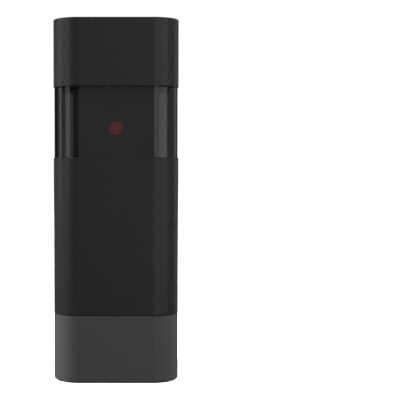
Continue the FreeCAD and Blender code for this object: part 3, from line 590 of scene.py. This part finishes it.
def screw_head(shape, sizes, slots):
    """A pan head with one slot or a cross, its face at height 0."""
    head = turned("screw_head", shape.head_radius, 0, shape.head_height)
    round_rim(head, 0, shape.head_height * RIM_ROUNDING)
    depth = shape.head_height * sizes.recess_depth
    width = shape.head_radius * 2 * sizes.blade_width
    length = shape.head_radius * 2 * (sizes.recess_reach if slots == 2 else SLOT_REACH)
    for number in range(slots):
        tool = blade(f"blade_{number}", length, width, depth)
        tool.rotation_euler.z = number * math.pi / 2
        settle(tool)
        cut_away(head, tool)
    return head


def screw_core(shape, sizes):
    """The round core under the thread, drawn to a blunt point."""
    root = shape.crest_radius * (1 - sizes.thread_depth)
    point = shape.length - shape.crest_radius
    core = turned("screw_core", root, shape.head_height * CORE_START, point)
    edit(core, "polygons", looks_up)
    bpy.ops.mesh.extrude_region_move(TRANSFORM_OT_translate={"value": (0, 0, shape.crest_radius)})
    bpy.ops.transform.resize(value=POINT_TAPER)
    close()
    return core


def screw_thread(shape, sizes):
    """A three-cornered ridge that winds up the core, with its outer corner at the crest."""
    depth = shape.crest_radius * sizes.thread_depth
    pitch = shape.crest_radius * sizes.thread_pitch
    low = shape.head_height + pitch / 2
    turns = int((shape.length - shape.crest_radius - low) / pitch)
    deselect()
    bpy.ops.mesh.primitive_circle_add(
        vertices=3, radius=depth, location=(shape.crest_radius - depth, 0, low), rotation=STANDING)
    ridge = bpy.context.object
    ridge.name = "screw_thread"
    settle(ridge)
    winding = ridge.modifiers.new("Winding", "SCREW")
    winding.axis = "Z"
    winding.screw_offset = pitch
    winding.iterations = turns
    winding.steps = SCREW_SIDES
    winding.render_steps = SCREW_SIDES
    bpy.ops.object.modifier_apply(modifier=winding.name)
    edit(ridge, "edges", lambda edge: False)
    bpy.ops.mesh.select_non_manifold()
    bpy.ops.mesh.fill_holes(sides=3)
    bpy.ops.mesh.select_all(action="SELECT")
    bpy.ops.mesh.normals_make_consistent(inside=False)
    close()
    return ridge


def model_screw(name, shape, sizes):
    """A pan-head screw with a cross recess: its face at the origin, its point up the Z axis."""
    shells = [screw_head(shape, sizes, slots=2), screw_core(shape, sizes), screw_thread(shape, sizes)]
    screw = joined(name, shells)
    bpy.ops.object.shade_smooth_by_angle(angle=SMOOTH_ANGLE)
    return screw


def set_down(pattern, places, axis, node, body, material):
    """Copies a modelled screw to each place, pointing along an axis, in the stead of a CAD node."""
    for number, place in enumerate(places, start=1):
        choose(pattern)
        bpy.ops.object.duplicate(linked=False)
        screw = bpy.context.object
        screw.name = f"{pattern.name}_{number}"
        screw.location = place
        screw.rotation_euler = Vector((0, 0, 1)).rotation_difference(Vector(axis)).to_euler()
        settle(screw)
        screw.data.materials.clear()
        screw.data.materials.append(material)
        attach(screw, body)
        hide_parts(node)
    bpy.data.objects.remove(pattern)


# The pieces.
class PHOTOCELL_OT_case(bpy.types.Operator):
    """Finish the cap, the sleeve, the foot, the window and their seals"""

    bl_idname = "photocell.case"
    bl_label = "Case"

    def execute(self, context):
        colours = context.scene.photocell_colours
        hood = moulded_plastic(
            "hood_plastic", colours.hood, roughness=0.28, grain=0.3 * MM, depth=0.0007 * MM,
            constants={"Specular IOR Level": 0.42})
        foot = moulded_plastic(
            "foot_plastic", colours.foot, roughness=0.36, grain=0.22 * MM, depth=0.005 * MM)
        dress(hood, "top_cap", "body_sleeve")
        dress(foot, "foot_housing")
        dress(smoked_plastic(colours.smoke), "window_ring")
        dress(soft_rubber("gasket_rubber", (0.02, 0.02, 0.02)),
              "foot_seal", "lower_window_seal", "upper_window_seal", "cable_grommet")
        return {"FINISHED"}


class PHOTOCELL_OT_drum(bpy.types.Operator):
    """Finish the optic drum and what it holds"""

    bl_idname = "photocell.drum"
    bl_label = "Optic Drum"

    def execute(self, context):
        colours = context.scene.photocell_colours
        shell = moulded_plastic(
            "drum_plastic", colours.drum, roughness=0.5, grain=0.25 * MM, depth=0.015 * MM)
        nylon = moulded_plastic(
            "pale_nylon", (0.7, 0.69, 0.65), roughness=0.45, grain=0.2 * MM, depth=0.01 * MM)
        dress(shell, "optic_head", "head_cover")
        dress(lens_resin(colours.lens), "ir_lens")
        dress(clear_resin("diode_resin", (0.06, 0.03, 0.08), cloudiness=0.4), "ir_diode")
        dress(nylon, "friction_washer")
        dress(zinc_plate(), "head_clip")
        return {"FINISHED"}


class PHOTOCELL_OT_chassis(bpy.types.Operator):
    """Finish the inner frame and the lead that runs up through it"""

    bl_idname = "photocell.chassis"
    bl_label = "Chassis"

    def execute(self, context):
        inner_frame = moulded_plastic(
            "chassis_plastic", (0.03, 0.03, 0.03), roughness=0.5, grain=0.3 * MM, depth=0.02 * MM)
        dress(inner_frame, "chassis")
        dress(soft_rubber("jacket_rubber", (0.03, 0.03, 0.03)), "head_lead")
        return {"FINISHED"}


class PHOTOCELL_OT_boards(bpy.types.Operator):
    """Finish the boards and the parts on them"""

    bl_idname = "photocell.boards"
    bl_label = "Boards"

    def execute(self, context):
        terminals = moulded_plastic(
            "terminal_plastic", (0.25, 0.27, 0.28), roughness=0.4, grain=0.2 * MM, depth=0.01 * MM)
        relay = moulded_plastic(
            "relay_plastic", (0.02, 0.02, 0.022), roughness=0.22, grain=0.4 * MM, depth=0.006 * MM)
        connectors = moulded_plastic(
            "connector_plastic", (0.75, 0.74, 0.7), roughness=0.38, grain=0.2 * MM, depth=0.008 * MM)
        rectifier = moulded_plastic(
            "rectifier_resin", (0.02, 0.02, 0.02), roughness=0.5, grain=0.12 * MM, depth=0.01 * MM)
        chip = part_tinned("chip_resin", (0.02, 0.02, 0.02), roughness=0.5, metal_share=chip_legs)
        jumper = part_tinned("jumper_plastic", (0.03, 0.03, 0.03), roughness=0.42, metal_share=jumper_pins)
        dress(circuit_board(), "main_board", "optic_board")
        dress(terminals, "terminal_block")
        dress(relay, "relay")
        dress(connectors, "lead_socket", "head_plug")
        dress(rectifier, "bridge_rectifier")
        dress(chip, "microcontroller")
        dress(jumper, "mode_jumper")
        dress(sleeved_can(), "smoothing_capacitor")
        dress(clear_resin("lamp_resin", (0.5, 0.03, 0.03), cloudiness=0.6), "status_led")
        return {"FINISHED"}


class PHOTOCELL_OT_hood_screws(bpy.types.Operator):
    """Model the two long screws that hold the hood, from under the foot"""

    bl_idname = "photocell.hood_screws"
    bl_label = "Hood Screws"

    def execute(self, context):
        low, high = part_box("hood_screws")
        shape = ScrewShape(
            head_radius=2.7 * MM, head_height=2.0 * MM, crest_radius=1.3 * MM, length=high.z - low.z)
        across, along = high.x - shape.head_radius, high.y - shape.head_radius
        places = [(-across, -along, low.z), (across, along, low.z)]
        screw = model_screw("hood_screw", shape, context.scene.photocell_screws)
        set_down(screw, places, (0, 0, 1), "hood_screws", "housing", zinc_plate())
        return {"FINISHED"}


class PHOTOCELL_OT_small_screws(bpy.types.Operator):
    """Model the small screws of the chassis and of both boards"""

    bl_idname = "photocell.small_screws"
    bl_label = "Small Screws"

    def execute(self, context):
        sizes = context.scene.photocell_screws
        material = zinc_plate()
        head, height, crest = 1.9 * MM, 1.5 * MM, 0.95 * MM

        low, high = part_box("chassis_screws")
        middle = (low + high) / 2
        shape = ScrewShape(head, height, crest, high.z - low.z)
        places = [(low.x + head, middle.y, high.z), (high.x - head, middle.y, high.z)]
        screw = model_screw("chassis_screw", shape, sizes)
        set_down(screw, places, (0, 0, -1), "chassis_screws", "housing", material)

        low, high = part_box("board_screws")
        middle = (low + high) / 2
        shape = ScrewShape(head, height, crest, high.y - low.y)
        places = [(low.x + head, low.y, middle.z), (high.x - head, low.y, middle.z)]
        screw = model_screw("board_screw", shape, sizes)
        set_down(screw, places, (0, 1, 0), "board_screws", "housing", material)

        low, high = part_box("optic_board_screws")
        shape = ScrewShape(head, height, crest, high.y - low.y)
        places = [(low.x + head, high.y, low.z + head), (high.x - head, high.y, high.z - head)]
        screw = model_screw("optic_board_screw", shape, sizes)
        set_down(screw, places, (0, -1, 0), "optic_board_screws", "optic_drum", material)
        return {"FINISHED"}


class PHOTOCELL_OT_terminal_screws(bpy.types.Operator):
    """Model the slotted clamp screws in the terminal block's wells"""

    bl_idname = "photocell.terminal_screws"
    bl_label = "Terminal Screws"

    def execute(self, context):
        low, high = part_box("terminal_screws")
        radius = (high.z - low.z) / 2
        shape = ScrewShape(radius, high.y - low.y, radius, high.y - low.y)
        screw = screw_head(shape, context.scene.photocell_screws, slots=1)
        screw.name = "terminal_screw"
        choose(screw)
        bpy.ops.object.shade_smooth_by_angle(angle=SMOOTH_ANGLE)
        pitch = (high.x - low.x - radius * 2) / (TERMINAL_COUNT - 1)
        places = [
            (low.x + radius + pitch * number, low.y, low.z + radius) for number in range(TERMINAL_COUNT)]
        set_down(screw, places, (0, 1, 0), "terminal_screws", "housing", zinc_plate())
        return {"FINISHED"}


# The studio.
class Lamp(NamedTuple):
    """A flat lamp that faces the case, and whether it shows in gloss and through the window.

    Its bearing is in degrees, 0 at the front and 90 on the right.
    """

    bearing: float
    distance: float
    height: float
    width: float
    tall: float
    mirrored: bool
    seen_through: bool


LAMPS = {
    "front_fill": Lamp(0, 0.7, 0.5, 0.8, 0.5, False, True),
    "left_fill": Lamp(-92, 0.8, 0.35, 0.8, 0.7, False, False),
    "right_fill": Lamp(95, 0.8, 0.35, 0.8, 0.7, False, False),
    "back_fill": Lamp(180, 0.8, 0.35, 0.8, 0.7, False, False),
    "left_strip": Lamp(-95.5, 0.6, 0.35, 0.20, 0.75, True, False),
    "left_softbox": Lamp(-54.5, 0.6, 0.33, 0.27, 0.75, True, False),
    "right_softbox": Lamp(53, 0.6, 0.27, 0.36, 0.75, True, False),
    "right_apron": Lamp(23.5, 0.6, 0.125, 0.29, 0.75, True, False),
    "rim_strip": Lamp(126, 0.6, 0.25, 0.30, 0.75, True, False),
    "front_panel": Lamp(5, 0.6, 0.25, 0.30, 0.75, True, False),
}


def hang_lamp(name, lamp, brightness):
    """A lamp of a given brightness: a power of pi times its area makes it as bright as white paper."""
    bearing = math.radians(lamp.bearing)
    place = Vector((math.sin(bearing) * lamp.distance, -math.cos(bearing) * lamp.distance, lamp.height))
    light = bpy.data.lights.new(name, "AREA")
    light.shape = "RECTANGLE"
    light.size = lamp.width
    light.size_y = lamp.tall
    light.energy = brightness * math.pi * lamp.width * lamp.tall
    hung = bpy.data.objects.new(name, light)
    hung.location = place
    hung.rotation_euler = (CASE_MIDDLE - place).to_track_quat("-Z", "Y").to_euler()
    hung.visible_camera = False
    hung.visible_glossy = lamp.mirrored
    hung.visible_transmission = lamp.seen_through
    bpy.context.scene.collection.objects.link(hung)


def set_camera(setup):
    camera = bpy.data.cameras.new("camera")
    camera.sensor_width = SENSOR_WIDTH
    camera.lens = setup.focal_length
    camera.shift_x = 0.5 - AXIS_COLUMN / IMAGE_SIDE
    camera.clip_start = NEAREST_SEEN
    placed = bpy.data.objects.new("camera", camera)
    placed.location = (0, SOLID_BOX[0].y - setup.camera_distance, setup.camera_height)
    placed.rotation_euler = (math.pi / 2 - setup.camera_tilt, 0, 0)
    bpy.context.scene.collection.objects.link(placed)
    bpy.context.scene.camera = placed


def set_room(setup):
    """The world: white behind the case, dimmer through its window, and a dim room for all other light."""
    world = bpy.data.worlds.new("room")
    world.use_nodes = True
    bpy.context.scene.world = world
    finish = Finish(world.node_tree, "Background")
    behind = finish.add("ShaderNodeLightPath", output="Is Camera Ray")
    through = finish.add("ShaderNodeLightPath", output="Is Transmission Ray")
    elsewhere = 1 - behind - through
    finish.feed(finish.shader, "Color", (1, 1, 1, 1))
    finish.feed(finish.shader, "Strength", behind + through * setup.backdrop + elsewhere * setup.room)


def lay_floor(setup):
    """A pale floor: white to the eye away from the case, and still shaded where the case stands."""
    deselect()
    bpy.ops.mesh.primitive_plane_add(size=FLOOR_SIDE)
    floor = bpy.context.object
    floor.name = "floor"
    floor.visible_glossy = False
    finish = Finish.material("pale_floor", {
        "Roughness": 0.9, "Specular IOR Level": 0.0, "Emission Strength": 1.0})
    seen = finish.add("ShaderNodeLightPath", output="Is Camera Ray")
    through = finish.add("ShaderNodeLightPath", output="Is Transmission Ray")
    shown = seen + through * setup.backdrop
    x, y, _ = finish.axes(finish.place())
    away = finish.mask((x * x + y * y).root(), SHADOW_REACH, WHITE_FROM)
    glow = shown * (away * (1 - NEAR_GLOW) + NEAR_GLOW)
    finish.shade(
        Base_Color=finish.blend(shown, (0.05, 0.05, 0.05), (0.85, 0.85, 0.85)),
        Emission_Color=finish.blend(glow, (0, 0, 0), (1, 1, 1)),
    )
    floor.data.materials.append(finish.made)


class PHOTOCELL_OT_stage(bpy.types.Operator):
    """Set up the floor, the room, the lamps and the camera"""

    bl_idname = "photocell.stage"
    bl_label = "Studio"

    def execute(self, context):
        setup = context.scene.photocell_studio
        context.scene.view_settings.view_transform = "Standard"
        lay_floor(setup)
        set_room(setup)
        for name, lamp in LAMPS.items():
            hang_lamp(name, lamp, getattr(setup, name))
        set_camera(setup)
        return {"FINISHED"}


STEPS = (
    PHOTOCELL_OT_case,
    PHOTOCELL_OT_drum,
    PHOTOCELL_OT_chassis,
    PHOTOCELL_OT_boards,
    PHOTOCELL_OT_hood_screws,
    PHOTOCELL_OT_small_screws,
    PHOTOCELL_OT_terminal_screws,
    PHOTOCELL_OT_stage,
)


class PHOTOCELL_PT_sidebar(bpy.types.Panel):
    """The photocell's steps and what can be changed"""

    bl_idname = "PHOTOCELL_PT_sidebar"
    bl_label = "Photocell"
    bl_space_type = "VIEW_3D"
    bl_region_type = "UI"
    bl_category = "Photocell"

    def draw(self, context):
        scene = context.scene
        for group in (scene.photocell_colours, scene.photocell_screws, scene.photocell_studio):
            column = self.layout.column()
            for name in group.bl_rna.properties.keys():
                if name not in ("rna_type", "name"):
                    column.prop(group, name)
        for step in STEPS:
            self.layout.operator(step.bl_idname)


GROUPS = {
    "photocell_colours": CaseColours,
    "photocell_screws": ScrewSizes,
    "photocell_studio": StudioSetup,
}


def register():
    for name, group in GROUPS.items():
        bpy.utils.register_class(group)
        setattr(bpy.types.Scene, name, PointerProperty(type=group))
    for step in (*STEPS, PHOTOCELL_PT_sidebar):
        bpy.utils.register_class(step)


def unregister():
    for step in reversed((*STEPS, PHOTOCELL_PT_sidebar)):
        bpy.utils.unregister_class(step)
    for name, group in GROUPS.items():
        delattr(bpy.types.Scene, name)
        bpy.utils.unregister_class(group)


def main():
    register()
    bpy.ops.photocell.case()
    bpy.ops.photocell.drum()
    bpy.ops.photocell.chassis()
    bpy.ops.photocell.boards()
    bpy.ops.photocell.hood_screws()
    bpy.ops.photocell.small_screws()
    bpy.ops.photocell.terminal_screws()
    bpy.ops.photocell.stage()


if __name__ == "__main__":
    main()
